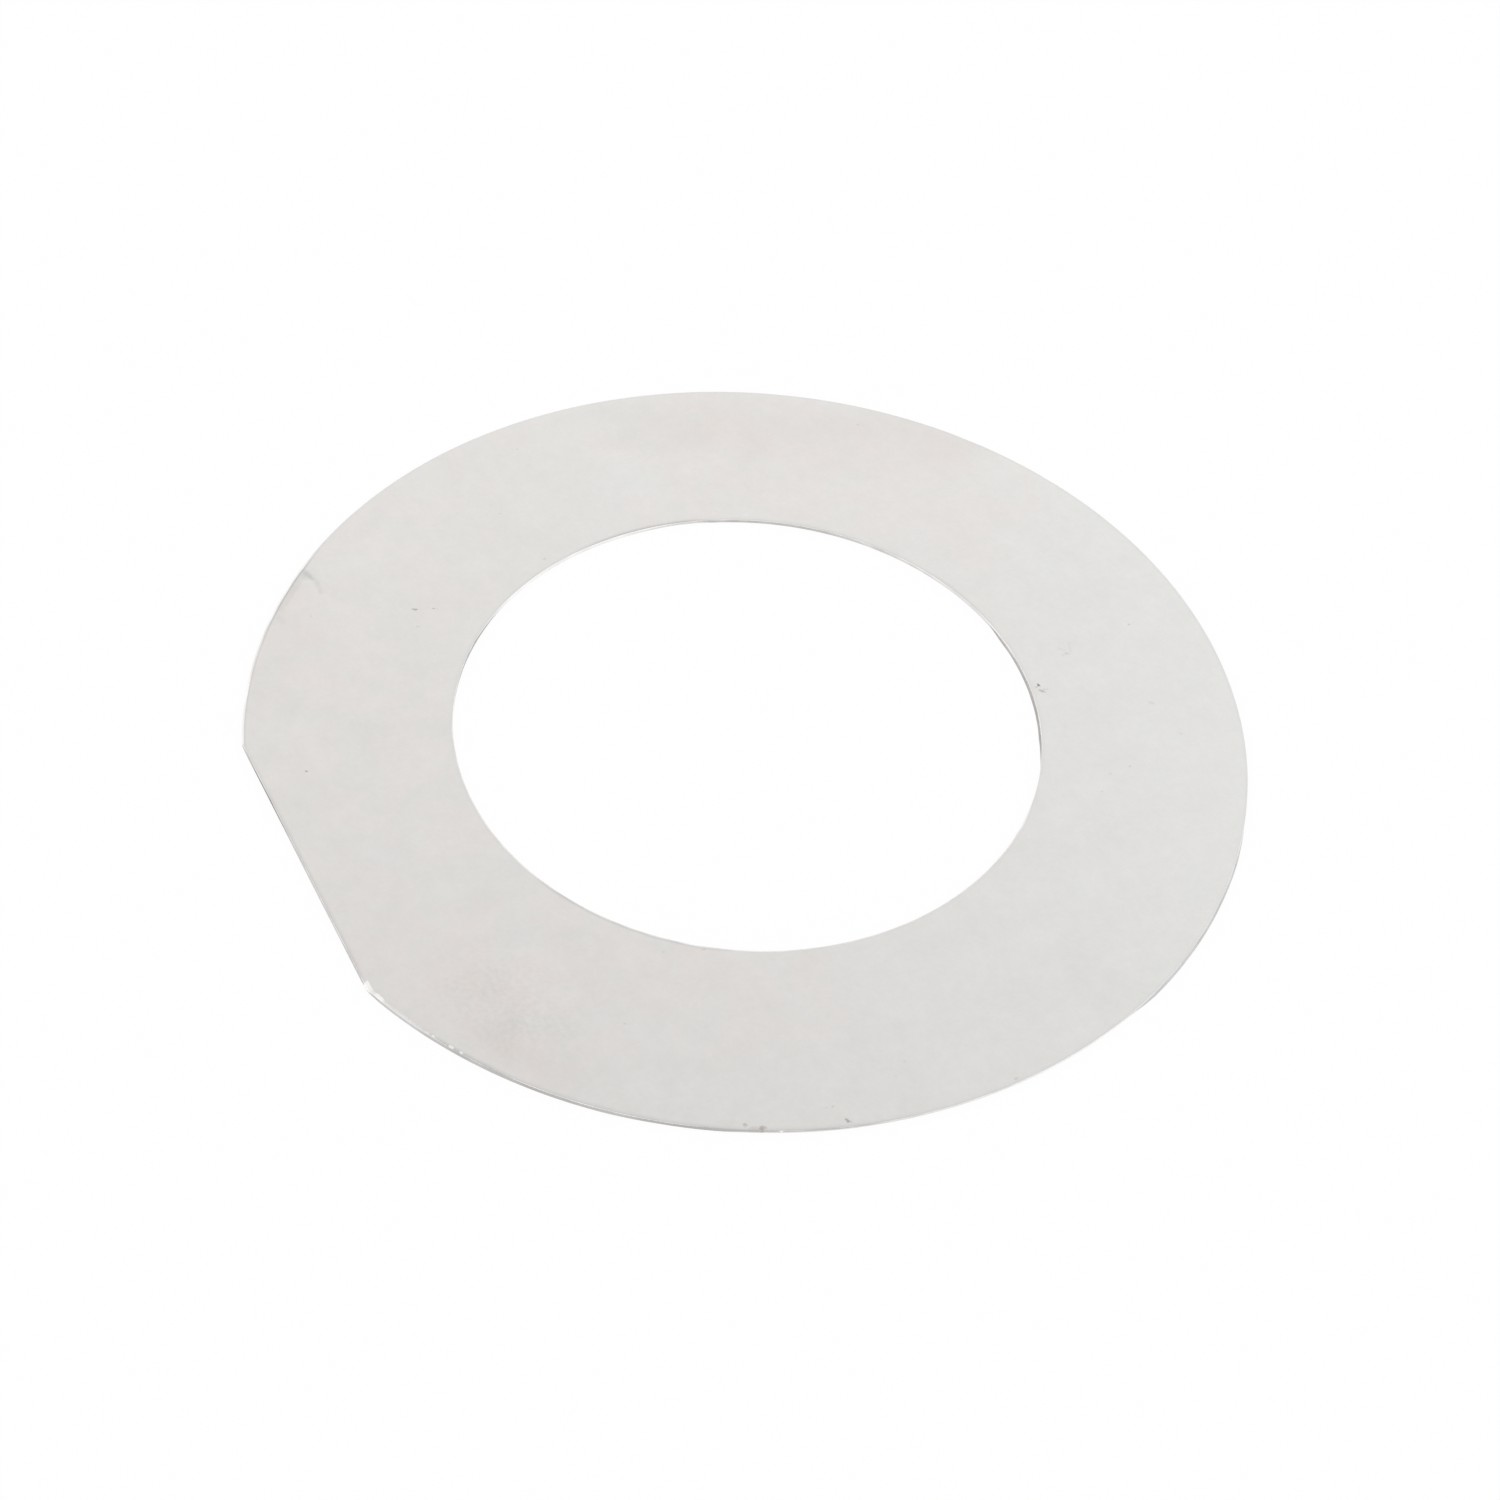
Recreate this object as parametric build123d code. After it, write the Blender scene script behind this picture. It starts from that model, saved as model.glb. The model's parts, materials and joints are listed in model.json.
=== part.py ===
from build123d import *
import os

# A shim ring punched from cold rolled steel strip, with a flat on one side of its rim.
# Millimetres. The origin is on the bore's axis at the lower face, +Z is up out of the
# upper face, and the flat looks along -Y.

# What sets the size
rim_diameter = 120.0
bore_diameter = 70.5
thickness = 0.5
flat_from_axis = 56.6

# How the punch leaves the edges: the upper edges are drawn down into a small round, the
# middle of the wall is sheared upright, and the foot of the wall breaks away with a lean
roll_over_radius = 0.08
break_height = 0.2
break_lean = 0.02

# The punch's own corners, where the flat meets the round of the rim
corner_radius = 1.0


def blank_outline():
    """The ring's outline: a disc with a chord cut off, its two corners eased, less the bore."""
    rim_radius = rim_diameter / 2
    cut_depth = rim_radius - flat_from_axis
    beyond_chord = Pos(0, -flat_from_axis - cut_depth) * Rectangle(2 * rim_radius, 2 * cut_depth)
    disc = Circle(rim_radius) - beyond_chord
    disc = fillet(disc.vertices(), corner_radius)
    return disc - Circle(bore_diameter / 2)


def edges_at_height(solid, height):
    """The solid's edges that lie flat at one height."""
    return [edge for edge in solid.edges() if abs(edge.bounding_box().min.Z - height) < 1e-6
            and abs(edge.bounding_box().max.Z - height) < 1e-6]


def punched_ring():
    """The blank at its full thickness, with the round and the lean that the punch leaves."""
    ring = extrude(blank_outline(), amount=thickness)
    ring = fillet(edges_at_height(ring, thickness), roll_over_radius)
    lower_face = ring.faces().sort_by(Axis.Z)[0]
    return chamfer(edges_at_height(ring, 0.0), break_lean, break_height, reference=lower_face)


shim_ring = punched_ring()
shim_ring.label = "shim_ring"

os.makedirs("parts", exist_ok=True)
export_step(shim_ring, "parts/shim_ring.step")
print("volume", round(shim_ring.volume, 1), "faces", len(shim_ring.faces()))
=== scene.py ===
import json
import math
from collections import namedtuple

import bpy
import numpy as np
from mathutils import Matrix, Vector


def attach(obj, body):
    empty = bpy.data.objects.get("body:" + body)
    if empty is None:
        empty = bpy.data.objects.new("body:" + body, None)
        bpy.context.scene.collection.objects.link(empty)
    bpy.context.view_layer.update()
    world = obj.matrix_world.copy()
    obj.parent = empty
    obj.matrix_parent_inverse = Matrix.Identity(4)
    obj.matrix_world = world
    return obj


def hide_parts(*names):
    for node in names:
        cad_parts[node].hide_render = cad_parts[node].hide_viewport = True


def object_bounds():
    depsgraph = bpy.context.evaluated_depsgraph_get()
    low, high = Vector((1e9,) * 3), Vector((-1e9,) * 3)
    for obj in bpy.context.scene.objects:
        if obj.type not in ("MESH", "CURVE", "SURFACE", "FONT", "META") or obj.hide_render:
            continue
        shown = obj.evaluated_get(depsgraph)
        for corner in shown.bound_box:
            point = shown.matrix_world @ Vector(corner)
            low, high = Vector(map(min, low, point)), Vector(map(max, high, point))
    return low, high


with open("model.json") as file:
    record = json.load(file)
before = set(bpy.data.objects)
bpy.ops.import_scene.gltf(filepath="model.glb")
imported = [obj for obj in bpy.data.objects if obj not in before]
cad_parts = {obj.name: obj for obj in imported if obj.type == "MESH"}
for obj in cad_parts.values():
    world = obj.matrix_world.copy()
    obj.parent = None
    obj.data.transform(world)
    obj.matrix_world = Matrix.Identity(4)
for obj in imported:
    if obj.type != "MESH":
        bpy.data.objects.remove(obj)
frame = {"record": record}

# The looks of a shim ring: thin cold rolled steel strip, punched to a ring with a flat on
# its rim. Metres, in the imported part's frame: the bore's axis is Z, the ring lies on Z = 0,
# and the flat looks along -Y. Angles round the ring are in degrees from +X.

MM = 0.001
MICRON = 0.000001

cad_low, cad_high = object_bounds()

# The ring's sizes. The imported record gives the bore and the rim, and the CAD box the rest.
mount_of = {mount["name"]: mount for mount in frame["record"]["mounts"]}
BORE_RADIUS = mount_of["bore"]["dims"]["r_mm"] * MM
RIM_RADIUS = mount_of["rim"]["dims"]["r_mm"] * MM
FLAT_FROM_AXIS = -cad_low.y
THICKNESS = cad_high.z
CORNER_RADIUS = 1.0 * MM

# How the punch leaves an edge: a roll-over at the top, an upright burnished band down to the
# break line, and a grey broken band that leans in below it, or out where lean is below 0.
# Sheen and tone say how bright the burnished and the broken band are painted: where they are
# high the wall is painted pale, a painted highlight, and where they are low, painted shade.
# Shade says how much painted shade darkens the face right beside the edge.
USUAL_EDGE = {
    "roll_width": 0.10 * MM,
    "roll_drop": 0.06 * MM,
    "break_line": 0.34 * MM,
    "lean": 0.02 * MM,
    "sheen": 0.95,
    "tone": 1.0,
    "shade": 0.02,
}

# Arcs where an edge differs from the usual one, in degrees: where they start and stop, over how
# far they come and go beyond those, and what is otherwise there. Where a wall is painted white
# or pale, its bands stand in for a painted highlight. Later arcs go over earlier ones.
Arc = namedtuple("Arc", "start stop come go changes")

RIM_ARCS = {
    "far side, rolled wider": Arc(54.0, 222.0, 8.0, 4.0, {"shade": 0.055, "roll_width": 0.17 * MM}),
    "left side, painted shade and pale slope at the edge": Arc(220.0, 250.5, 4.0, 1.0, {
        "shade": 0.22, "roll_width": 0.23 * MM, "roll_drop": 0.07 * MM}),
    "darkest painted shade of the left side": Arc(221.0, 228.0, 2.0, 8.0, {"shade": 0.54}),
    "the flat, broken nearly from the top": Arc(252.0, 287.6, 1.2, 1.0, {
        "shade": 0.05, "break_line": 0.47 * MM, "tone": 1.36, "lean": -0.03 * MM}),
    "the flat, painted shade beside the edge": Arc(260.0, 287.0, 8.0, 1.5, {"shade": 0.10}),
    "darkest stretch of the flat": Arc(256.0, 260.5, 4.0, 7.0, {"tone": 0.56, "lean": -0.01 * MM}),
    "front, broken nearly from the top": Arc(300.0, 352.0, 4.0, 4.0, {
        "break_line": 0.47 * MM, "tone": 1.30, "shade": 0.06}),
    "front, leaning in": Arc(336.0, 350.0, 6.0, 4.0, {"lean": 0.09 * MM, "tone": 1.24}),
    "front left, with a foot that stands out": Arc(292.0, 318.0, 3.0, 8.0, {"lean": -0.07 * MM}),
    "front left, painted shade beside the edge": Arc(300.5, 304.5, 2.0, 4.0, {"shade": 0.15}),
    "first dark run of the front": Arc(310.5, 315.0, 3.0, 3.0, {"tone": 1.20}),
    "second dark run of the front": Arc(327.0, 335.0, 3.0, 3.0, {"tone": 1.22}),
    "front right, wall painted white": Arc(353.0, 386.0, 10.0, 3.0, {
        "break_line": 0.47 * MM, "tone": 2.0, "sheen": 1.0, "lean": 0.15 * MM, "shade": 0.02}),
    "dark before the foot stands out": Arc(379.0, 386.0, 5.0, 4.0, {"tone": 1.52, "sheen": 0.90}),
    "right, with a foot that stands out": Arc(384.0, 405.0, 6.0, 9.0, {
        "break_line": 0.47 * MM, "tone": 1.42, "lean": -0.17 * MM}),
    # The slope after the flat, its corner and the chips are painted pale: a painted highlight
    "bright slope after the flat": Arc(288.7, 296.0, 0.1, 4.0, {
        "roll_width": 0.28 * MM, "roll_drop": 0.13 * MM, "sheen": 0.84, "tone": 1.42}),
    "the flat's rounded corner, painted glint": Arc(288.7, 289.3, 0.1, 1.3, {
        "roll_width": 0.60 * MM, "roll_drop": 0.20 * MM, "break_line": 0.05 * MM, "sheen": 1.0}),
    "whitest part of that slope": Arc(290.8, 291.5, 0.5, 0.6, {
        "roll_width": 0.42 * MM, "roll_drop": 0.16 * MM, "sheen": 1.0}),
    "first chip": Arc(298.0, 298.2, 0.2, 0.2, {"roll_width": 0.30 * MM, "roll_drop": 0.12 * MM}),
    "second chip": Arc(298.8, 299.0, 0.2, 0.2, {"roll_width": 0.28 * MM, "roll_drop": 0.12 * MM}),
    "third chip": Arc(301.1, 301.4, 0.3, 0.3, {"roll_width": 0.32 * MM, "roll_drop": 0.13 * MM}),
    "fourth chip": Arc(302.4, 302.6, 0.2, 0.3, {"roll_width": 0.30 * MM, "roll_drop": 0.12 * MM}),
    "nick at the front": Arc(337.2, 337.4, 0.15, 0.15, {
        "roll_width": 0.18 * MM, "roll_drop": 0.12 * MM, "break_line": 0.15 * MM, "sheen": 0.92}),
}

BORE_ARCS = {
    # The pale and white walls below are a painted highlight
    "far side, pale": Arc(118.0, 176.0, 10.0, 4.0, {"break_line": 0.42 * MM, "tone": 1.33}),
    "palest part of the far side": Arc(112.0, 130.0, 10.0, 12.0, {"tone": 1.60}),
    "back right, wall painted pale": Arc(99.0, 108.0, 7.0, 10.0, {
        "break_line": 0.12 * MM, "tone": 1.60, "sheen": 0.87, "shade": 0.05}),
    "right, with a foot that stands out": Arc(64.0, 90.0, 10.0, 6.0, {
        "break_line": 0.17 * MM, "sheen": 0.96, "tone": 0.97, "lean": -0.22 * MM}),
    "back left, wall painted white": Arc(175.0, 212.0, 8.0, 14.0, {
        "break_line": 0.41 * MM, "tone": 2.15, "sheen": 1.0, "lean": 0.04 * MM, "shade": 0.03}),
    "where its dark line ends": Arc(166.0, 171.0, 6.0, 6.0, {"lean": 0.12 * MM}),
    "painted shade beside that": Arc(168.0, 183.0, 6.0, 12.0, {"shade": 0.17}),
    "left, broken nearly from the top": Arc(226.0, 239.0, 15.0, 6.0, {
        "break_line": 0.45 * MM, "tone": 1.01, "lean": 0.01 * MM, "shade": 0.04}),
    "front, rolled wider": Arc(250.0, 400.0, 10.0, 10.0, {"roll_width": 0.20 * MM, "shade": 0.055}),
    "front left, painted shade beside the edge": Arc(296.0, 326.0, 6.0, 6.0, {"shade": 0.22}),
}

# The photograph's camera, fitted to the ring's two round edges: where it stands from the
# bore's axis, how it is turned, and its focal length in the photograph's pixels
PHOTO_PIXELS = 1500
FOCAL_PIXELS = 3148.0
SENSOR_WIDTH = 36.0
CAMERA_AZIMUTH = math.radians(60.0)
CAMERA_ELEVATION = math.radians(47.09)
CAMERA_ROLL = math.radians(5.31)
CAMERA_BACK = 4.318 * RIM_RADIUS
CAMERA_ASIDE = 0.0080 * RIM_RADIUS
CAMERA_HEIGHT = THICKNESS + 4.562 * RIM_RADIUS

# Marks that the ring has picked up, and painted shade in and beside the crease. A stroke has
# its two ends in the photograph's pixels, its width on the steel in millimetres, and how far it
# turns to the mark's own colour.
Stroke = namedtuple("Stroke", "start end width strength")

FLECKS_AND_CREASE_SHADE = {
    "long dash left of the bore": Stroke((413.2, 608.6), (416.8, 609.8), 0.42, 0.42),
    "short dash left of the bore": Stroke((432.3, 608.5), (434.0, 608.5), 0.32, 0.36),
    "tail of the short dash": Stroke((434.0, 608.5), (438.0, 609.0), 0.26, 0.12),
    "dot above the flat": Stroke((306.1, 771.5), (306.1, 771.5), 0.48, 0.48),
    "dark dot right of the bore": Stroke((1038.5, 684.9), (1038.7, 684.9), 0.60, 0.80),
    "tail of the dark dot": Stroke((1038.0, 686.0), (1035.5, 687.5), 0.40, 0.18),
    "dash right of the bore": Stroke((1039.5, 690.0), (1043.0, 691.2), 0.48, 0.34),
    "upper end of that dash": Stroke((1043.0, 689.6), (1047.5, 689.2), 0.36, 0.13),
    "lower end of that dash": Stroke((1041.0, 692.3), (1045.5, 691.9), 0.36, 0.13),
    "heart of the rough cluster": Stroke((1066.0, 652.8), (1066.4, 653.2), 0.45, 0.16),
    "upper side of the rough cluster": Stroke((1058.5, 648.5), (1064.5, 650.0), 0.70, 0.05),
    "lower side of the rough cluster": Stroke((1063.0, 655.0), (1069.5, 653.5), 0.60, 0.07),
    "right side of the rough cluster": Stroke((1069.0, 643.5), (1070.5, 651.0), 0.60, 0.05),
    "right dot, far": Stroke((1128.7, 624.3), (1128.7, 624.3), 0.42, 0.24),
    "right smear": Stroke((1149.0, 702.5), (1153.0, 703.5), 0.60, 0.10),
    "right edge dot": Stroke((1181.0, 733.5), (1181.0, 733.5), 0.55, 0.10),
    "right dot, middle": Stroke((1130.3, 766.3), (1130.3, 766.3), 0.50, 0.18),
    "right dot, inner": Stroke((1110.3, 773.5), (1110.3, 773.5), 0.50, 0.16),
    "right dot, near": Stroke((1101.9, 791.6), (1101.9, 791.6), 0.50, 0.11),
    "back dot": Stroke((858.0, 424.4), (858.0, 424.4), 0.45, 0.18),
    "back left dot": Stroke((517.3, 449.4), (517.3, 449.4), 0.50, 0.11),
    "left dot, far": Stroke((499.7, 513.9), (499.7, 513.9), 0.50, 0.13),
    "left edge smudge": Stroke((279.0, 618.0), (282.5, 622.0), 0.90, 0.045),
    "dot below the crease": Stroke((309.5, 616.0), (310.8, 616.6), 0.40, 0.09),
    "dot by the bore, upper left": Stroke((544.4, 559.0), (545.6, 558.4), 0.32, 0.14),
    "front inner dot, left": Stroke((663.9, 952.1), (663.9, 952.1), 0.50, 0.12),
    "front inner dot, middle": Stroke((703.2, 949.4), (704.4, 949.6), 0.45, 0.16),
    "front dot": Stroke((624.7, 1023.5), (624.7, 1023.5), 0.50, 0.13),
    "right comma of the scuff": Stroke((832.0, 1107.3), (833.6, 1105.6), 0.40, 0.17),
    "left comma of the scuff": Stroke((825.0, 1107.6), (826.0, 1107.6), 0.50, 0.07),
    "faint front dot": Stroke((709.6, 1100.4), (709.6, 1100.4), 0.50, 0.07),
    "front right dot": Stroke((896.9, 1075.7), (896.9, 1075.7), 0.50, 0.10),
    "front right dot, inner": Stroke((905.3, 1061.4), (906.2, 1061.4), 0.45, 0.09),
    "front right edge dot": Stroke((1014.8, 1078.6), (1017.4, 1078.0), 0.45, 0.15),
    "grey dot at the front rim": Stroke((744.7, 1124.9), (745.1, 1124.9), 0.75, 0.30),
    "dark dash at the front rim": Stroke((846.9, 1120.1), (847.7, 1120.9), 0.58, 0.52),
    "tail of the front rim's dash": Stroke((848.6, 1121.8), (851.6, 1121.2), 0.46, 0.26),
    # Painted shade in and beside the crease, laid as fleck marks
    "painted shade at the start of the crease": Stroke((301.5, 573.0), (307.0, 576.5), 1.90, 0.09),
    "painted shade in the crease": Stroke((305.0, 573.5), (312.0, 578.5), 0.90, 0.09),
    "painted shade beside the left rim": Stroke((301.0, 577.0), (281.0, 609.0), 1.50, 0.06),
}

RUST = {
    "rust spot at the front rim": Stroke((761.6, 1128.4), (764.2, 1127.8), 0.80, 0.40),
    "faint rust beside it": Stroke((753.0, 1129.0), (760.0, 1129.0), 1.10, 0.16),
    "pink fleck left of the bore": Stroke((417.2, 626.4), (418.8, 626.4), 0.45, 0.16),
}

# Broad soft stain marks, and painted shade beside and below the crease: darker where the
# strength is above 0, and paler where it is below
STAINS_AND_CREASE_SHADE = {
    "stain at the front left": Stroke((464.0, 985.0), (525.0, 1030.0), 7.5, 0.045),
    "its lower end": Stroke((500.0, 1040.0), (548.0, 1075.0), 6.0, 0.025),
    "haze at the back": Stroke((630.0, 425.0), (960.0, 435.0), 9.0, 0.033),
    "shade beside the crease": Stroke((291.0, 577.0), (278.0, 612.0), 2.3, 0.045),
    "long shade below the crease": Stroke((290.0, 600.0), (272.0, 690.0), 7.0, 0.015),
    "shade at the right": Stroke((1085.0, 968.0), (1105.0, 985.0), 5.0, 0.018),
    "shade round the dark dot": Stroke((1044.0, 684.0), (1050.0, 690.0), 2.5, 0.020),
    "pale patch at the back left": Stroke((610.0, 440.0), (640.0, 490.0), 7.0, -0.018),
}

# Broad patches where the steel is warmer, with 1 for the warmest
WARM_PATCHES = {
    "back of the ring": Stroke((700.0, 450.0), (950.0, 470.0), 34.0, 1.0),
    "back, by the bore": Stroke((740.0, 515.0), (960.0, 530.0), 20.0, 0.7),
    "back left": Stroke((470.0, 430.0), (540.0, 400.0), 16.0, 0.5),
    "left side": Stroke((400.0, 540.0), (400.0, 880.0), 46.0, 0.15),
    "far left": Stroke((285.0, 625.0), (300.0, 680.0), 20.0, 0.6),
    "left of the bore": Stroke((400.0, 760.0), (470.0, 850.0), 14.0, 0.3),
    "front left": Stroke((400.0, 960.0), (750.0, 990.0), 26.0, 0.95),
    "front left, by the rim": Stroke((500.0, 1050.0), (560.0, 1070.0), 16.0, 0.3),
}

# A shallow crease pressed into the face, from the rim inwards
CREASE = [(303.0, 570.5), (309.0, 574.5), (315.5, 581.5), (319.5, 588.5), (321.0, 593.0)]
CREASE_WIDTH = 0.55 * MM
CREASE_DEPTH = 0.04 * MM

# A coarser, rougher patch of the face, round a line between two pixels
ROUGH_PATCH_START, ROUGH_PATCH_END = (480.0, 985.0), (530.0, 1020.0)
ROUGH_PATCH_WIDTH = 18 * MM


def camera_axes():
    """The camera's place and its right, up and back directions.

    It looks level along its azimuth, tips down by its elevation, and rolls about its line of
    sight.
    """
    level_right = np.array([math.cos(CAMERA_AZIMUTH), math.sin(CAMERA_AZIMUTH), 0.0])
    level_ahead = np.array([-math.sin(CAMERA_AZIMUTH), math.cos(CAMERA_AZIMUTH), 0.0])
    place = CAMERA_ASIDE * level_right - CAMERA_BACK * level_ahead
    place[2] = CAMERA_HEIGHT
    raised = np.array([0.0, 0.0, math.sin(CAMERA_ELEVATION)])
    back = raised - level_ahead * math.cos(CAMERA_ELEVATION)
    level_up = np.cross(back, level_right)
    right = level_right * math.cos(CAMERA_ROLL) + level_up * math.sin(CAMERA_ROLL)
    up = level_up * math.cos(CAMERA_ROLL) - level_right * math.sin(CAMERA_ROLL)
    return place, right, up, back


def make_camera():
    place, right, up, back = camera_axes()
    data = bpy.data.cameras.new("camera")
    data.sensor_width = SENSOR_WIDTH
    data.lens = SENSOR_WIDTH * FOCAL_PIXELS / PHOTO_PIXELS
    data.clip_start = 0.01
    data.clip_end = 50.0
    camera = bpy.data.objects.new("camera", data)
    bpy.context.scene.collection.objects.link(camera)
    turn = Matrix((right, up, back)).transposed().to_4x4()
    camera.matrix_world = Matrix.Translation(place) @ turn
    bpy.context.scene.camera = camera


def on_upper_face(pixel):
    """The point in the plane of the ring's upper face that a pixel of the photograph shows."""
    place, right, up, back = camera_axes()
    across, down = np.array(pixel) - PHOTO_PIXELS / 2
    ray = right * across / FOCAL_PIXELS - up * down / FOCAL_PIXELS - back
    point = place + (THICKNESS - place[2]) / ray[2] * ray
    return np.array([point[0], point[1], 0.0])


def crease_runs():
    """The two ends of each straight run of the crease."""
    points = [on_upper_face(pixel) for pixel in CREASE]
    return list(zip(points, points[1:]))


make_camera()


# A noise: its turns to the metre, its octaves beyond the first, how strong each octave is
# beside the one before, and a seed
Noise = namedtuple("Noise", "scale detail roughness seed")


class Value:
    """A shader socket that Python's own operators add Math nodes to."""

    def __init__(self, shader, socket):
        self.shader = shader
        self.socket = socket

    def combine(self, operation, *others):
        return self.shader.node("ShaderNodeMath", {"operation": operation}, [self, *others])

    def __add__(self, other):
        return self.combine("ADD", other)

    def __sub__(self, other):
        return self.combine("SUBTRACT", other)

    def __mul__(self, other):
        return self.combine("MULTIPLY", other)

    def __rsub__(self, other):
        return self.shader.node("ShaderNodeMath", {"operation": "SUBTRACT"}, [other, self])

    __radd__ = __add__

    def absolute(self):
        return self.combine("ABSOLUTE")

    def clamped(self):
        return self.shader.node("ShaderNodeClamp", {}, [self, 0.0, 1.0])

    def ramp(self, low, high):
        """0 below low, 1 above high, smooth between them. low above high turns it round."""
        return self.shader.node("ShaderNodeMapRange", {"interpolation_type": "SMOOTHSTEP"},
                                [self, low, high, 0.0, 1.0])


class Shader:
    """A material's or world's node tree, with one method that adds any node."""

    def __init__(self, owner):
        owner.use_nodes = True
        self.tree = owner.node_tree
        self.tree.nodes.clear()

    def node(self, kind, settings, inputs, output=0):
        """Adds a node of a type, sets its settings, then its sockets, by name or in order."""
        node = self.tree.nodes.new(kind)
        for name, value in settings.items():
            setattr(node, name, value)
        pairs = inputs.items() if isinstance(inputs, dict) else enumerate(inputs)
        for key, value in pairs:
            if isinstance(value, Value):
                self.tree.links.new(value.socket, node.inputs[key])
            else:
                node.inputs[key].default_value = value
        return Value(self, node.outputs[output]) if node.outputs else None

    def vector(self, operation, *values, output=0):
        return self.node("ShaderNodeVectorMath", {"operation": operation}, values, output)

    def scaled(self, vector, factor):
        return self.node("ShaderNodeVectorMath", {"operation": "SCALE"},
                         {"Vector": vector, "Scale": factor})

    def mixed(self, share, first, second):
        """The first colour where share is 0, the second where it is 1."""
        return self.node("ShaderNodeMix", {"data_type": "RGBA"}, {0: share, 6: first, 7: second}, 2)

    def attribute(self, name):
        """A number that the mesh carries at its points."""
        return self.node("ShaderNodeAttribute", {"attribute_name": name}, {}, "Fac")

    def noise(self, point, noise, output="Fac"):
        """Soft noise about 0.5. Its seed moves it apart from the other noises."""
        seed = noise.seed
        moved = self.vector("ADD", point, (seed, seed * 0.7, seed * 1.3))
        return self.node("ShaderNodeTexNoise", {"noise_dimensions": "3D"},
                         {"Vector": moved, "Scale": noise.scale, "Detail": noise.detail,
                          "Roughness": noise.roughness}, output)

    def drawn_out(self, point, turn, along, across):
        """The point in a frame turned by degrees, in units that long along and across that way."""
        return self.node("ShaderNodeMapping", {"vector_type": "TEXTURE"},
                         {"Vector": point, "Rotation": (0.0, 0.0, math.radians(turn)),
                          "Scale": (along, across, 1.0)})

    def shaken(self, point, noise, reach):
        """The point moved about by a noise, over a distance of reach in all."""
        moved = self.vector("SUBTRACT", self.noise(point, noise, "Color"), (0.5, 0.5, 0.5))
        return self.vector("ADD", point, self.scaled(moved, reach))

    def stroke(self, point, start, end, width, soft):
        """1 on the line from start to end, falling smoothly to 0 at half its width each side.

        The nearest place on the line is the point's share of the way along it, held between
        the two ends. soft is the part of the half width that the fall takes.
        """
        along = end - start
        length_squared = along @ along
        if length_squared == 0:
            distance = self.vector("DISTANCE", point, tuple(start), output="Value")
        else:
            apart = self.vector("SUBTRACT", point, tuple(start))
            scaled_along = tuple(along / length_squared)
            share = self.vector("DOT_PRODUCT", apart, scaled_along, output="Value").clamped()
            nearest = self.scaled(tuple(along), share)
            distance = self.vector("DISTANCE", apart, nearest, output="Value")
        return distance.ramp(width / 2, width / 2 * (1 - soft))


def srgb(red, green, blue):
    """A colour read off the screen, from 0 to 255, as the linear colour that a shader takes."""
    shares = np.array([red, green, blue]) / 255
    linear = np.where(shares <= 0.04045, shares / 12.92, ((shares + 0.055) / 1.055) ** 2.4)
    return (*(float(part) for part in linear), 1.0)


# The steel's own two colours, and those of its edges' bands and its marks. The burnished
# band's near white is partly a painted highlight, and the fleck grey also paints shade in and
# beside the crease.
STEEL_WARM = srgb(228.7, 224.0, 221.1)
STEEL_COOL = srgb(226.4, 225.1, 222.5)
BURNISHED_AND_HIGHLIGHT = srgb(248, 247, 245)
BROKEN = srgb(176, 175, 174)
FLECK_AND_SHADE_GREY = srgb(92, 88, 80)
RUST_BROWN = srgb(150, 132, 118)
STEEL_ROUGHNESS = 0.36

# The noises of the finish. The rolling grain and the hairlines lie in frames of their own,
# drawn out to a length and a width, so their scale is 1.
CLOUD = Noise(45.0, 1.0, 0.5, 3.0)
MOTTLE = Noise(170.0, 4.0, 1.0, 11.0)
TINT = Noise(170.0, 2.0, 0.6, 23.0)
COARSE_GRAIN = Noise(1700.0, 1.0, 0.5, 17.0)
ROLLING_GRAIN = Noise(1.0, 2.0, 0.5, 5.0)
GRAIN_LENGTH, GRAIN_WIDTH = 9 * MM, 0.35 * MM
# The way that the strip was rolled, in degrees from +X
ROLLING_WAY = 67.0

# The hairlines of each way: the way in degrees from +X, the noise whose middle they follow,
# and the noise that keeps stretches of them
HAIRLINES = [
    (20.0, Noise(1.0, 1.0, 0.5, 31.0), Noise(90.0, 0.0, 0.5, 32.0)),
    (118.0, Noise(1.0, 1.0, 0.5, 37.0), Noise(90.0, 0.0, 0.5, 38.0)),
]
HAIRLINE_LENGTH, HAIRLINE_WIDTH = 40 * MM, 1.2 * MM
# How near its middle the first noise shows a line, and where the second starts to keep it and
# keeps all of it
HAIRLINE_REACH = 0.012
HAIRLINES_GONE, HAIRLINES_KEPT = 0.52, 0.66

# How stain marks, painted shade and patches wander off their strokes, and how much wider than
# those strokes the stain marks and painted shade are
BLOTCH_DRIFT = Noise(160.0, 1.0, 0.5, 13.0)
BLOTCH_REACH = 9 * MM
STAIN_AND_SHADE_GROWTH = 2.0
ROUGH_PATCH_SOFTNESS = 0.8

# How far each noise or mark moves the steel's brightness, as a share of it, its roughness and
# its height
CLOUD_TONE = 0.02
MOTTLE_TONE, MOTTLE_ROUGHNESS, MOTTLE_RELIEF = 0.16, 0.10, 5 * MICRON
GRAIN_TONE, GRAIN_ROUGHNESS, GRAIN_RELIEF = 0.012, 0.08, 1.5 * MICRON
SCRATCH_TONE, SCRATCH_ROUGHNESS = 0.008, 0.04
ROUGH_PATCH_TONE = 0.13
STAIN_AND_SHADE_ROUGHNESS = 0.8
# How much of red, green and blue a stain mark or painted shade takes away, times its strength
STAIN_AND_SHADE_TINT = (0.75, 1.06, 1.17)

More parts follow.
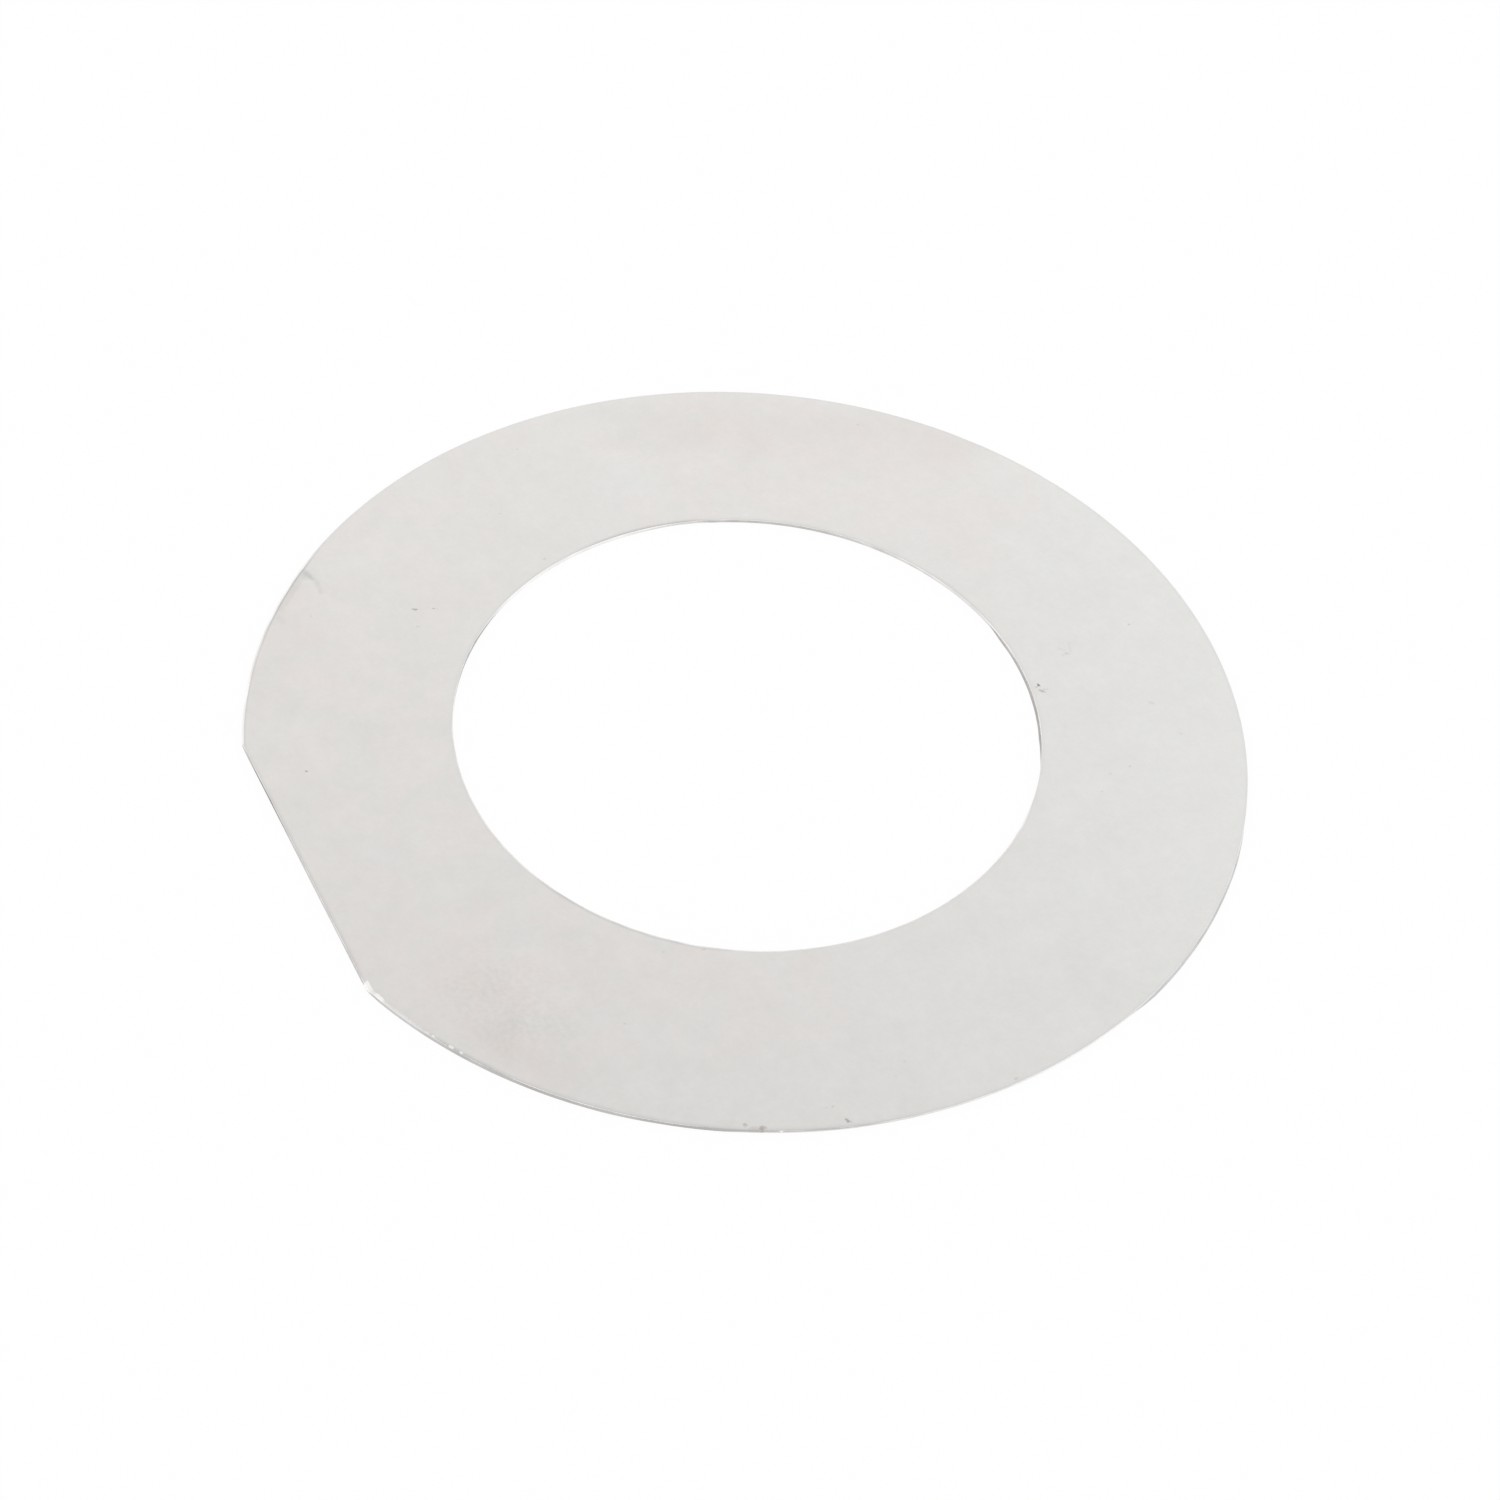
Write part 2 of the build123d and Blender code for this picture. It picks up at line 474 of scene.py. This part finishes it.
# The steel's place between its warm colour, at 0, and its cool one, at 1: the usual place, how
# far the tint swings it there, how much a full warm patch moves it, how much further the tint
# swings it in one, and the widest swing. The tint is its noise spread from between the last two.
USUAL_COOLNESS = 0.80
USUAL_SWING = 0.22
PATCH_WARMTH = 0.62
PATCH_SWING = 2.5
WIDEST_SWING = 0.90
TINT_LOW, TINT_HIGH = 0.35, 0.65

# The edges' bands: how softly one turns to the next, each side, what the drawn down shear
# lines and the pits do there, how far the break line wavers with the lines, and how far in
# from an edge the wall's look starts and is there in full
BAND_BLUR = 0.02 * MM
SHEAR_LINES = Noise(5200.0, 2.0, 0.5, 29.0)
SHEAR_SQUEEZE = (1.0, 1.0, 0.08)
SHEAR_TONE, SHEAR_RELIEF = 0.16, 14 * MICRON
BREAK_WAVER = 0.06 * MM
PITS = Noise(9000.0, 2.0, 0.5, 41.0)
PIT_TONE, PIT_RELIEF = 0.25, 16 * MICRON
WALL_FADE = (0.05 * MM, 0.02 * MM)
BROKEN_ROUGHER, BURNISHED_SMOOTHER = 0.14, 0.08
# A roll-over shows as a slope of its own, painted pale as a painted highlight, from the first
# width, and in full from the second
SLOPE_WIDTHS = (0.16 * MM, 0.26 * MM)
SLOPE_SMOOTHER, SLOPE_LESS_METALLIC = 0.08, 0.8
# The painted shade lines beside an edge start at the first distance from it, and are full at
# the second
WIDE_PAINTED_SHADE = (0.60 * MM, 0.12 * MM)
NARROW_PAINTED_SHADE = (0.26 * MM, 0.06 * MM)
PAINTED_SHADE_STRENGTH = 0.7

# How ragged and how soft each fleck, the painted crease shade and the rust are, and what they
# and the crease's painted shade change
RAGGEDNESS = Noise(2200.0, 1.0, 0.5, 7.0)
RAGGED_REACH = 0.45 * MM
FLECK_AND_SHADE_SOFTNESS, RUST_SOFTNESS = 0.75, 0.6
DIRT_AND_SHADE_ROUGHER, DIRT_AND_SHADE_LESS_METALLIC = 0.25, 0.7
CREASE_SHADE = 0.07

# The upper face's looks fade in between these shares of the thickness
TOP_FADE = (0.60, 0.75)


# What a shader works out for a surface
Look = namedtuple("Look", "colour roughness metallic relief")


def marks(shader, point, strokes, soft, grow=1.0):
    """The strokes of one kind added up, each as strong as it says."""
    total = 0.0
    for stroke in strokes.values():
        start, end = on_upper_face(stroke.start), on_upper_face(stroke.end)
        mark = shader.stroke(point, start, end, stroke.width * MM * grow, soft)
        total = mark.combine("MULTIPLY_ADD", stroke.strength, total)
    return total


def edge_gap(shader, point):
    """How far a point lies in from the nearest edge: the rim, its flat or the bore."""
    radius = shader.vector("LENGTH", point, output="Value")
    from_flat = shader.node("ShaderNodeSeparateXYZ", {}, [point], "Y") + FLAT_FROM_AXIS
    from_rim = (RIM_RADIUS - radius).combine("MINIMUM", from_flat)
    return from_rim.combine("MINIMUM", radius - BORE_RADIUS)


def hairlines(shader, point, turn, lines, stretches):
    """Fine broken scratches one way.

    A noise drawn out long along that way crosses its middle on long thin lines, and a second
    noise keeps only stretches of them.
    """
    drawn = shader.drawn_out(point, turn, HAIRLINE_LENGTH, HAIRLINE_WIDTH)
    line = (shader.noise(drawn, lines) - 0.5).absolute().ramp(HAIRLINE_REACH, 0.0)
    kept = shader.noise(point, stretches).ramp(HAIRLINES_GONE, HAIRLINES_KEPT)
    return line * kept


def mill_finish(shader, point, on_top):
    """Cold rolled mill finish: an even pale grey with cloud, mottle, rolling grain, stain marks and
    painted crease shade.
    """
    cloud = shader.noise(point, CLOUD) - 0.5
    mottle = shader.noise(point, MOTTLE) - 0.5
    rolled = shader.drawn_out(point, ROLLING_WAY, GRAIN_LENGTH, GRAIN_WIDTH)
    grain = shader.noise(rolled, ROLLING_GRAIN) - 0.5
    tint = shader.noise(point, TINT).ramp(TINT_LOW, TINT_HIGH) - 0.5
    scratch = hairlines(shader, point, *HAIRLINES[0]) + hairlines(shader, point, *HAIRLINES[1])

    drifted = shader.shaken(point, BLOTCH_DRIFT, BLOTCH_REACH)
    # Stain marks, and painted shade beside and below the crease
    stains_and_shade = marks(shader, drifted, STAINS_AND_CREASE_SHADE, 1.0, grow=STAIN_AND_SHADE_GROWTH) * on_top
    patch = on_upper_face(ROUGH_PATCH_START), on_upper_face(ROUGH_PATCH_END)
    patch = shader.stroke(drifted, *patch, ROUGH_PATCH_WIDTH, ROUGH_PATCH_SOFTNESS) * on_top
    coarse = shader.noise(point, COARSE_GRAIN) - 0.5

    tone = 1.0 + cloud * CLOUD_TONE + mottle * MOTTLE_TONE + grain * GRAIN_TONE
    tone = tone + patch * coarse * ROUGH_PATCH_TONE - scratch * SCRATCH_TONE
    warmth = marks(shader, drifted, WARM_PATCHES, 1.0) * on_top
    swing = (warmth * PATCH_SWING + USUAL_SWING).combine("MINIMUM", WIDEST_SWING)
    coolness = USUAL_COOLNESS + tint * swing - warmth * PATCH_WARMTH
    colour = shader.scaled(shader.mixed(coolness.clamped(), STEEL_WARM, STEEL_COOL), tone)
    kept = shader.vector("SUBTRACT", (1.0, 1.0, 1.0), shader.scaled(STAIN_AND_SHADE_TINT, stains_and_shade))
    colour = shader.vector("MULTIPLY", colour, kept)

    roughness = STEEL_ROUGHNESS + mottle * MOTTLE_ROUGHNESS + grain * GRAIN_ROUGHNESS
    roughness = roughness + stains_and_shade * STAIN_AND_SHADE_ROUGHNESS - scratch * SCRATCH_ROUGHNESS
    relief = mottle * MOTTLE_RELIEF + grain * GRAIN_RELIEF
    return Look(colour, roughness, 1.0, relief)


def punched_edge(shader, look, place, point, height, on_top):
    """Lays the punched edge over a look.

    That is the painted shade line beside it, the slope of a wide roll-over, painted pale as a
    highlight, and the burnished band and the broken band, painted paler or darker by arc.
    """
    gap = edge_gap(shader, point)
    break_line, roll_width = shader.attribute("break_line"), shader.attribute("roll_width")
    sheen, broken_tone = shader.attribute("sheen"), shader.attribute("tone")
    squeezed = shader.vector("MULTIPLY", place, SHEAR_SQUEEZE)
    shear = shader.noise(squeezed, SHEAR_LINES) - 0.5
    pitted = shader.noise(place, PITS) - 0.5

    # Painted shade: the face is darkened right beside the edge
    painted_shade = gap.ramp(*WIDE_PAINTED_SHADE) + gap.ramp(*NARROW_PAINTED_SHADE)
    painted_shade = painted_shade * shader.attribute("shade") * on_top * PAINTED_SHADE_STRENGTH
    colour = shader.scaled(look.colour, 1.0 - painted_shade)
    # A wide roll-over's slope is painted pale: a painted highlight
    wide_enough = roll_width.ramp(*SLOPE_WIDTHS)
    slope = (gap - roll_width).ramp(BAND_BLUR, -BAND_BLUR) * wide_enough * on_top
    colour = shader.mixed(slope, colour, shader.scaled(BURNISHED_AND_HIGHLIGHT[:3], sheen))

    # Painted highlight and painted shade: both bands' brightness, set by sheen and tone
    broken = (height - break_line + shear * BREAK_WAVER).ramp(BAND_BLUR, -BAND_BLUR)
    marred = 1.0 + shear * SHEAR_TONE + broken * pitted * PIT_TONE
    tone = (sheen + broken * (broken_tone - sheen)) * marred
    wall = shader.scaled(shader.mixed(broken, BURNISHED_AND_HIGHLIGHT, BROKEN), tone)
    on_wall = gap.ramp(*WALL_FADE)
    colour = shader.mixed(on_wall, colour, wall)
    rougher = broken * BROKEN_ROUGHER - BURNISHED_SMOOTHER
    roughness = look.roughness + on_wall * rougher - slope * SLOPE_SMOOTHER
    relief = look.relief + on_wall * (shear * SHEAR_RELIEF + broken * pitted * PIT_RELIEF)
    return Look(colour, roughness, 1.0 - slope * SLOPE_LESS_METALLIC, relief)


def marks_and_crease_shade(shader, look, point, on_top):
    """Lays the crease's painted shade, each fleck and the rust over a look, with ragged outlines."""
    ragged = shader.shaken(point, RAGGEDNESS, RAGGED_REACH)
    # Each fleck, with painted shade in and beside the crease
    flecks_and_shade = (marks(shader, ragged, FLECKS_AND_CREASE_SHADE, FLECK_AND_SHADE_SOFTNESS) * on_top).clamped()
    rust = marks(shader, ragged, RUST, RUST_SOFTNESS).clamped()
    crease = 0.0
    for start, end in crease_runs():
        run = shader.stroke(ragged, start, end, 2 * CREASE_WIDTH, 1.0)
        crease = run.combine("MAXIMUM", crease)
    # Painted shade in the crease
    colour = shader.scaled(look.colour, 1.0 - crease * on_top * CREASE_SHADE)
    colour = shader.mixed(flecks_and_shade, colour, FLECK_AND_SHADE_GREY)
    colour = shader.mixed(rust, colour, RUST_BROWN)
    dirt_and_shade = (flecks_and_shade + rust).clamped()
    roughness = look.roughness + dirt_and_shade * DIRT_AND_SHADE_ROUGHER
    return Look(colour, roughness, look.metallic - dirt_and_shade * DIRT_AND_SHADE_LESS_METALLIC, look.relief)


def make_steel(name, has_edge, has_marks):
    """The ring's steel. Only what a stretch of the ring needs is worked out there, for speed."""
    material = bpy.data.materials.new(name)
    shader = Shader(material)
    place = shader.node("ShaderNodeTexCoord", {}, {}, "Object")
    point = shader.vector("MULTIPLY", place, (1.0, 1.0, 0.0))
    height = shader.node("ShaderNodeSeparateXYZ", {}, [place], "Z")
    on_top = height.ramp(*(share * THICKNESS for share in TOP_FADE))
    look = mill_finish(shader, point, on_top)
    if has_edge:
        look = punched_edge(shader, look, place, point, height, on_top)
    if has_marks:
        look = marks_and_crease_shade(shader, look, point, on_top)
    normal = shader.node("ShaderNodeBump", {},
                         {"Strength": 1.0, "Distance": 1.0, "Height": look.relief})
    surface = shader.node("ShaderNodeBsdfPrincipled", {},
                          {"Base Color": look.colour, "Metallic": look.metallic,
                           "Roughness": look.roughness.clamped(), "Normal": normal})
    shader.node("ShaderNodeOutputMaterial", {}, [surface])
    return material


# The ring's steels, in the order of its mesh's material slots: name, has an edge, has marks
STEELS = [
    ("mill_finish_steel", False, False),
    ("punched_edge_steel", True, False),
    ("marked_steel", True, True),
]
MILL_SLOT, EDGE_SLOT, MARKED_SLOT = range(3)

# The ring's mesh: its even steps all round, with closer ones at the two corners, in radians
# from each, and at the chips, in degrees, and its points round a roll-over, down each band,
# and across each face
EVEN_STEPS = 960
CORNER_STEPS = np.linspace(-0.012, 0.012, 13)
CHIP_STRETCHES = [(288.5, 293.0), (297.5, 303.2), (336.9, 337.8)]
CHIP_STEP = 0.1
ROUND_POINTS = 7
BAND_POINTS = 4
UPPER_POINTS = 58
LOWER_POINTS = 10
SHARP_ANGLE = 50

# The least height of the burnished band
LEAST_BAND = 0.02 * MM
# How far from its own line an edge or a mark can still show
SHOWS_WITHIN = 1.5 * MM
# An edge's values waver by this share, in waves that go 3 to 92 times round the ring
WAVER = 0.07
WAVES = np.arange(3, 93)
RIM_SEED, BORE_SEED = 10, 20


def outline_radius(angle, inset):
    """The rim's polar radius at each angle from +X, on a line set in from the rim.

    The set-in line has the rim's own shape: a circle, a chord nearer the axis by the same
    inset, and corner arcs about the same centres. A ray meets the chord at distance over
    cosine, and a corner arc where the two sides of the cosine rule agree.
    """
    turn = np.abs((angle + math.pi / 2 + math.pi) % (2 * math.pi) - math.pi)
    circle = RIM_RADIUS - inset
    chord = FLAT_FROM_AXIS - inset
    to_centre = RIM_RADIUS - CORNER_RADIUS
    centre_down = FLAT_FROM_AXIS - CORNER_RADIUS
    centre_aside = math.sqrt(to_centre ** 2 - centre_down ** 2)
    centre_turn = math.atan2(centre_aside, centre_down)
    across = to_centre * np.sin(turn - centre_turn)
    beyond = np.sqrt(np.maximum((CORNER_RADIUS - inset) ** 2 - across ** 2, 0))
    arc = to_centre * np.cos(turn - centre_turn) + beyond
    on_chord = turn < np.arctan2(centre_aside, chord)
    on_circle = turn > centre_turn
    flat = chord / np.cos(np.minimum(turn, 1.0))
    return np.where(on_chord, flat, np.where(on_circle, circle, arc))


def ring_angles():
    """The angles at which the ring's section is set: even, and closer at corners and chips."""
    corner = math.atan2(math.sqrt(RIM_RADIUS ** 2 - FLAT_FROM_AXIS ** 2), FLAT_FROM_AXIS)
    even = np.linspace(0, 2 * math.pi, EVEN_STEPS, endpoint=False)
    corners = [(-math.pi / 2 + side * corner + CORNER_STEPS) % (2 * math.pi) for side in (-1, 1)]
    chips = [np.radians(np.arange(start, stop, CHIP_STEP)) for start, stop in CHIP_STRETCHES]
    return np.unique(np.round(np.concatenate([even, *corners, *chips]), 6))


def along_arc(angle, arc):
    """1 along an arc, falling smoothly to 0 over where it comes and where it goes."""
    after = (np.degrees(angle) - (arc.start + arc.stop) / 2 + 180) % 360 - 180
    half = (arc.stop - arc.start) / 2
    come, go = (half + arc.come + after) / arc.come, (half + arc.go - after) / arc.go
    share = np.clip(np.minimum(come, go), 0, 1)
    return share ** 2 * (3 - 2 * share)


def unevenness(angle, seed):
    """A closed wavering line round the ring, mostly from -1 to 1: waves of seeded phase added up."""
    phases = np.random.default_rng(seed).uniform(0, 2 * math.pi, len(WAVES))
    weights = 1 / np.sqrt(WAVES)
    return np.cos(angle[..., None] * WAVES + phases) @ weights / np.sqrt((weights ** 2).sum())


def edge_values(angle, arcs, seed):
    """What the edge is like at each angle: the usual edge, taken over by each arc in turn."""
    values = {}
    for number, (key, usual) in enumerate(USUAL_EDGE.items()):
        value = usual + 0 * angle
        for arc in arcs.values():
            change = arc.changes.get(key)
            if change is not None:
                value = value + along_arc(angle, arc) * (change - value)
        values[key] = value * (1 + WAVER * unevenness(angle, seed + number))
    return values


def edge_profile(edge):
    """A punched edge from the upper face to the foot, as inset and height at each angle.

    A quarter ellipse for the roll-over, an upright band, and a foot that leans in from the
    break line down, or out where lean is below 0.
    """
    round_turn = np.linspace(0, math.pi / 2, ROUND_POINTS)
    band_share = foot_share = np.linspace(0, 1, BAND_POINTS)[1:]
    top = THICKNESS - edge["roll_drop"]
    break_line = np.minimum(edge["break_line"], top - LEAST_BAND)
    round_inset = edge["roll_width"] * (1 - np.sin(round_turn))
    round_height = THICKNESS - edge["roll_drop"] * (1 - np.cos(round_turn))
    band_height = top + (break_line - top) * band_share
    foot_height = break_line * (1 - foot_share)
    foot_inset = edge["lean"] * foot_share
    inset = np.concatenate([round_inset, 0 * band_height, foot_inset], axis=1)
    height = np.concatenate([round_height, band_height, foot_height], axis=1)
    return inset, height


def apart_from(x, y, start, end):
    """How far each point lies from the line from start to end, seen from above.

    The nearest place on the line is the point's share of the way along it, held between the
    two ends.
    """
    place = np.stack([x, y], axis=-1) - start[:2]
    along = end[:2] - start[:2]
    share = np.clip(place @ along / max(along @ along, MICRON ** 2), 0, 1)
    return np.linalg.norm(place - share[..., None] * along, axis=-1)


def from_crease(x, y):
    """How far each point lies from the nearest run of the crease."""
    return np.minimum.reduce([apart_from(x, y, start, end) for start, end in crease_runs()])


def pressed_share(x, y):
    """How far the crease presses the sheet down: 1 on its line, falling as a bell curve."""
    return np.exp(-(from_crease(x, y) / CREASE_WIDTH) ** 2)


def near_marks(x, y):
    """Whether a place is close enough to a fleck, the rust or the crease to show some of it."""
    near = from_crease(x, y) < SHOWS_WITHIN
    for stroke in [*FLECKS_AND_CREASE_SHADE.values(), *RUST.values()]:
        apart = apart_from(x, y, on_upper_face(stroke.start), on_upper_face(stroke.end))
        near |= apart < stroke.width * MM / 2 + SHOWS_WITHIN
    return near


def near_edge(x, y):
    """Whether a place is close enough to an edge to show some of it."""
    radius = np.hypot(x, y)
    gap = np.minimum(np.minimum(RIM_RADIUS - radius, y + FLAT_FROM_AXIS), radius - BORE_RADIUS)
    return gap < SHOWS_WITHIN


def closed_grid(name, x, y, z, values):
    """A mesh that closes on itself both ways, from arrays over (round the ring, round its section)."""
    columns, rows = x.shape
    index = np.arange(columns * rows).reshape(columns, rows)
    ahead = np.roll(index, -1, axis=0)
    corners = [index, np.roll(index, -1, axis=1), np.roll(ahead, -1, axis=1), ahead]
    quads = np.stack(corners, axis=-1).reshape(-1, 4)
    points = np.stack([x, y, z], axis=-1).reshape(-1, 3)
    mesh = bpy.data.meshes.new(name)
    mesh.from_pydata(points.tolist(), [], quads.tolist())
    for key, value in values.items():
        attribute = mesh.attributes.new(key, "FLOAT", "POINT")
        attribute.data.foreach_set("value", value.astype(np.float32).ravel())
    centre_x, centre_y, centre_z = points[quads].mean(axis=1).T
    slots = np.where(near_edge(centre_x, centre_y), EDGE_SLOT, MILL_SLOT)
    slots[near_marks(centre_x, centre_y) & (centre_z > 0)] = MARKED_SLOT
    mesh.polygons.foreach_set("material_index", slots.astype(np.int32))
    mesh.polygons.foreach_set("use_smooth", np.ones(len(mesh.polygons), bool))
    mesh.set_sharp_from_angle(angle=math.radians(SHARP_ANGLE))
    mesh.update()
    return mesh


def make_ring():
    """The punched ring: a section carried round the outline.

    The section runs out over the upper face, down the rim's edge, back over the lower face
    and up the bore's edge. On a face, a point lies a share of the way along the ray from the
    bore's edge to the rim's.
    """
    angle = ring_angles()[:, None]
    rim = edge_values(angle, RIM_ARCS, RIM_SEED)
    bore = edge_values(angle, BORE_ARCS, BORE_SEED)
    rim_inset, rim_height = edge_profile(rim)
    bore_inset, bore_height = edge_profile(bore)
    rim_edge = outline_radius(angle, rim_inset)
    bore_edge = BORE_RADIUS + bore_inset
    upper_share = np.linspace(0, 1, UPPER_POINTS)[None, 1:-1]
    lower_share = np.linspace(1, 0, LOWER_POINTS)[None, 1:-1]
    upper = bore_edge[:, :1] + (rim_edge[:, :1] - bore_edge[:, :1]) * upper_share
    lower = bore_edge[:, -1:] + (rim_edge[:, -1:] - bore_edge[:, -1:]) * lower_share
    radius = np.concatenate([upper, rim_edge, lower, bore_edge[:, ::-1]], axis=1)
    heights = [0 * upper + THICKNESS, rim_height, 0 * lower, bore_height[:, ::-1]]
    z = np.concatenate(heights, axis=1)
    x, y = radius * np.cos(angle), radius * np.sin(angle)
    z = z * (1 - pressed_share(x, y) * CREASE_DEPTH / THICKNESS)
    outward = [upper_share[0], 0 * rim_inset[0] + 1, lower_share[0], 0 * bore_inset[0]]
    at_rim = (np.concatenate(outward) > 0.5)[None, :]
    shown = ("roll_width", "break_line", "sheen", "tone", "shade")
    values = {key: np.where(at_rim, rim[key], bore[key]) for key in shown}
    mesh = closed_grid("punched_ring", x, y, z, values)
    ring = bpy.data.objects.new("punched_ring", mesh)
    bpy.context.scene.collection.objects.link(ring)
    for material in STEELS:
        ring.data.materials.append(make_steel(*material))
    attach(ring, "root")
    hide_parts("shim_ring")


# The floor: how far it goes each way, how white it is, and how much of it glows by itself
# where the camera or a mirroring surface sees it
FLOOR_REACH = 6.0
FLOOR_WHITE = (0.97, 0.97, 0.97, 1.0)
FLOOR_GLOW = 0.94


def make_floor():
    """A plain white floor that keeps the ring's shadow."""
    mesh = bpy.data.meshes.new("floor")
    signs = [(-1, -1), (1, -1), (1, 1), (-1, 1)]
    points = [(across * FLOOR_REACH, along * FLOOR_REACH, 0) for across, along in signs]
    mesh.from_pydata(points, [], [(0, 1, 2, 3)])
    floor = bpy.data.objects.new("floor", mesh)
    bpy.context.scene.collection.objects.link(floor)
    material = bpy.data.materials.new("white_floor")
    shader = Shader(material)
    seen = shader.node("ShaderNodeLightPath", {}, {}, "Is Camera Ray")
    mirrored = shader.node("ShaderNodeLightPath", {}, {}, "Is Glossy Ray")
    through = shader.node("ShaderNodeLightPath", {}, {}, "Is Transmission Ray")
    lit = shader.node("ShaderNodeBsdfDiffuse", {}, {"Color": FLOOR_WHITE})
    white = shader.node("ShaderNodeEmission", {}, {"Color": (1.0, 1.0, 1.0, 1.0), "Strength": 1.0})
    share = (seen + mirrored + through).clamped() * FLOOR_GLOW
    surface = shader.node("ShaderNodeMixShader", {}, [share, lit, white])
    shader.node("ShaderNodeOutputMaterial", {}, [surface])
    floor.data.materials.append(material)


# The dome of light: white all round up to WALL_TOP, as sines of elevation, and dimmer overhead
WALL_GLOW = 1.19
CEILING_GLOW = 0.74
WALL_TOP, CEILING_EDGE = 0.45, 0.97
# Its light is a little warmer from the camera's left and cooler from its right
WARM_SIDE = (1.037, 1.0, 0.985, 1.0)
COOL_SIDE = (0.963, 1.0, 1.015, 1.0)


def make_world():
    """A studio tent: its walls glow white, and its ceiling less."""
    world = bpy.data.worlds.new("studio")
    bpy.context.scene.world = world
    shader = Shader(world)
    way = shader.node("ShaderNodeTexCoord", {}, {}, "Generated")
    rise = shader.node("ShaderNodeSeparateXYZ", {}, [way], "Z")
    strength = rise.ramp(CEILING_EDGE, WALL_TOP) * (WALL_GLOW - CEILING_GLOW) + CEILING_GLOW
    across = shader.vector("DOT_PRODUCT", way, tuple(camera_axes()[1]), output="Value")
    colour = shader.mixed(across.ramp(-1.0, 1.0), WARM_SIDE, COOL_SIDE)
    surface = shader.node("ShaderNodeBackground", {}, {"Color": colour, "Strength": strength})
    shader.node("ShaderNodeOutputWorld", {}, [surface])


def make_softbox(name, azimuth, elevation, distance, width, height, radiance):
    """An area lamp that looks at the ring. Its power is its radiance times pi times its area."""
    turn, tip = math.radians(azimuth), math.radians(elevation)
    back = Vector((math.sin(turn) * math.cos(tip), -math.cos(turn) * math.cos(tip), math.sin(tip)))
    data = bpy.data.lights.new(name, "AREA")
    data.shape = "RECTANGLE"
    data.size, data.size_y = width, height
    data.energy = radiance * math.pi * width * height
    lamp = bpy.data.objects.new(name, data)
    bpy.context.scene.collection.objects.link(lamp)
    facing = back.to_track_quat("Z", "Y").to_matrix().to_4x4()
    lamp.matrix_world = Matrix.Translation(back * distance) @ facing


make_ring()
make_floor()
make_world()
make_softbox("back_softbox", azimuth=200.0, elevation=50.0, distance=1.3, width=0.9, height=0.6,
             radiance=0.107)

bpy.context.scene.view_settings.view_transform = "Standard"
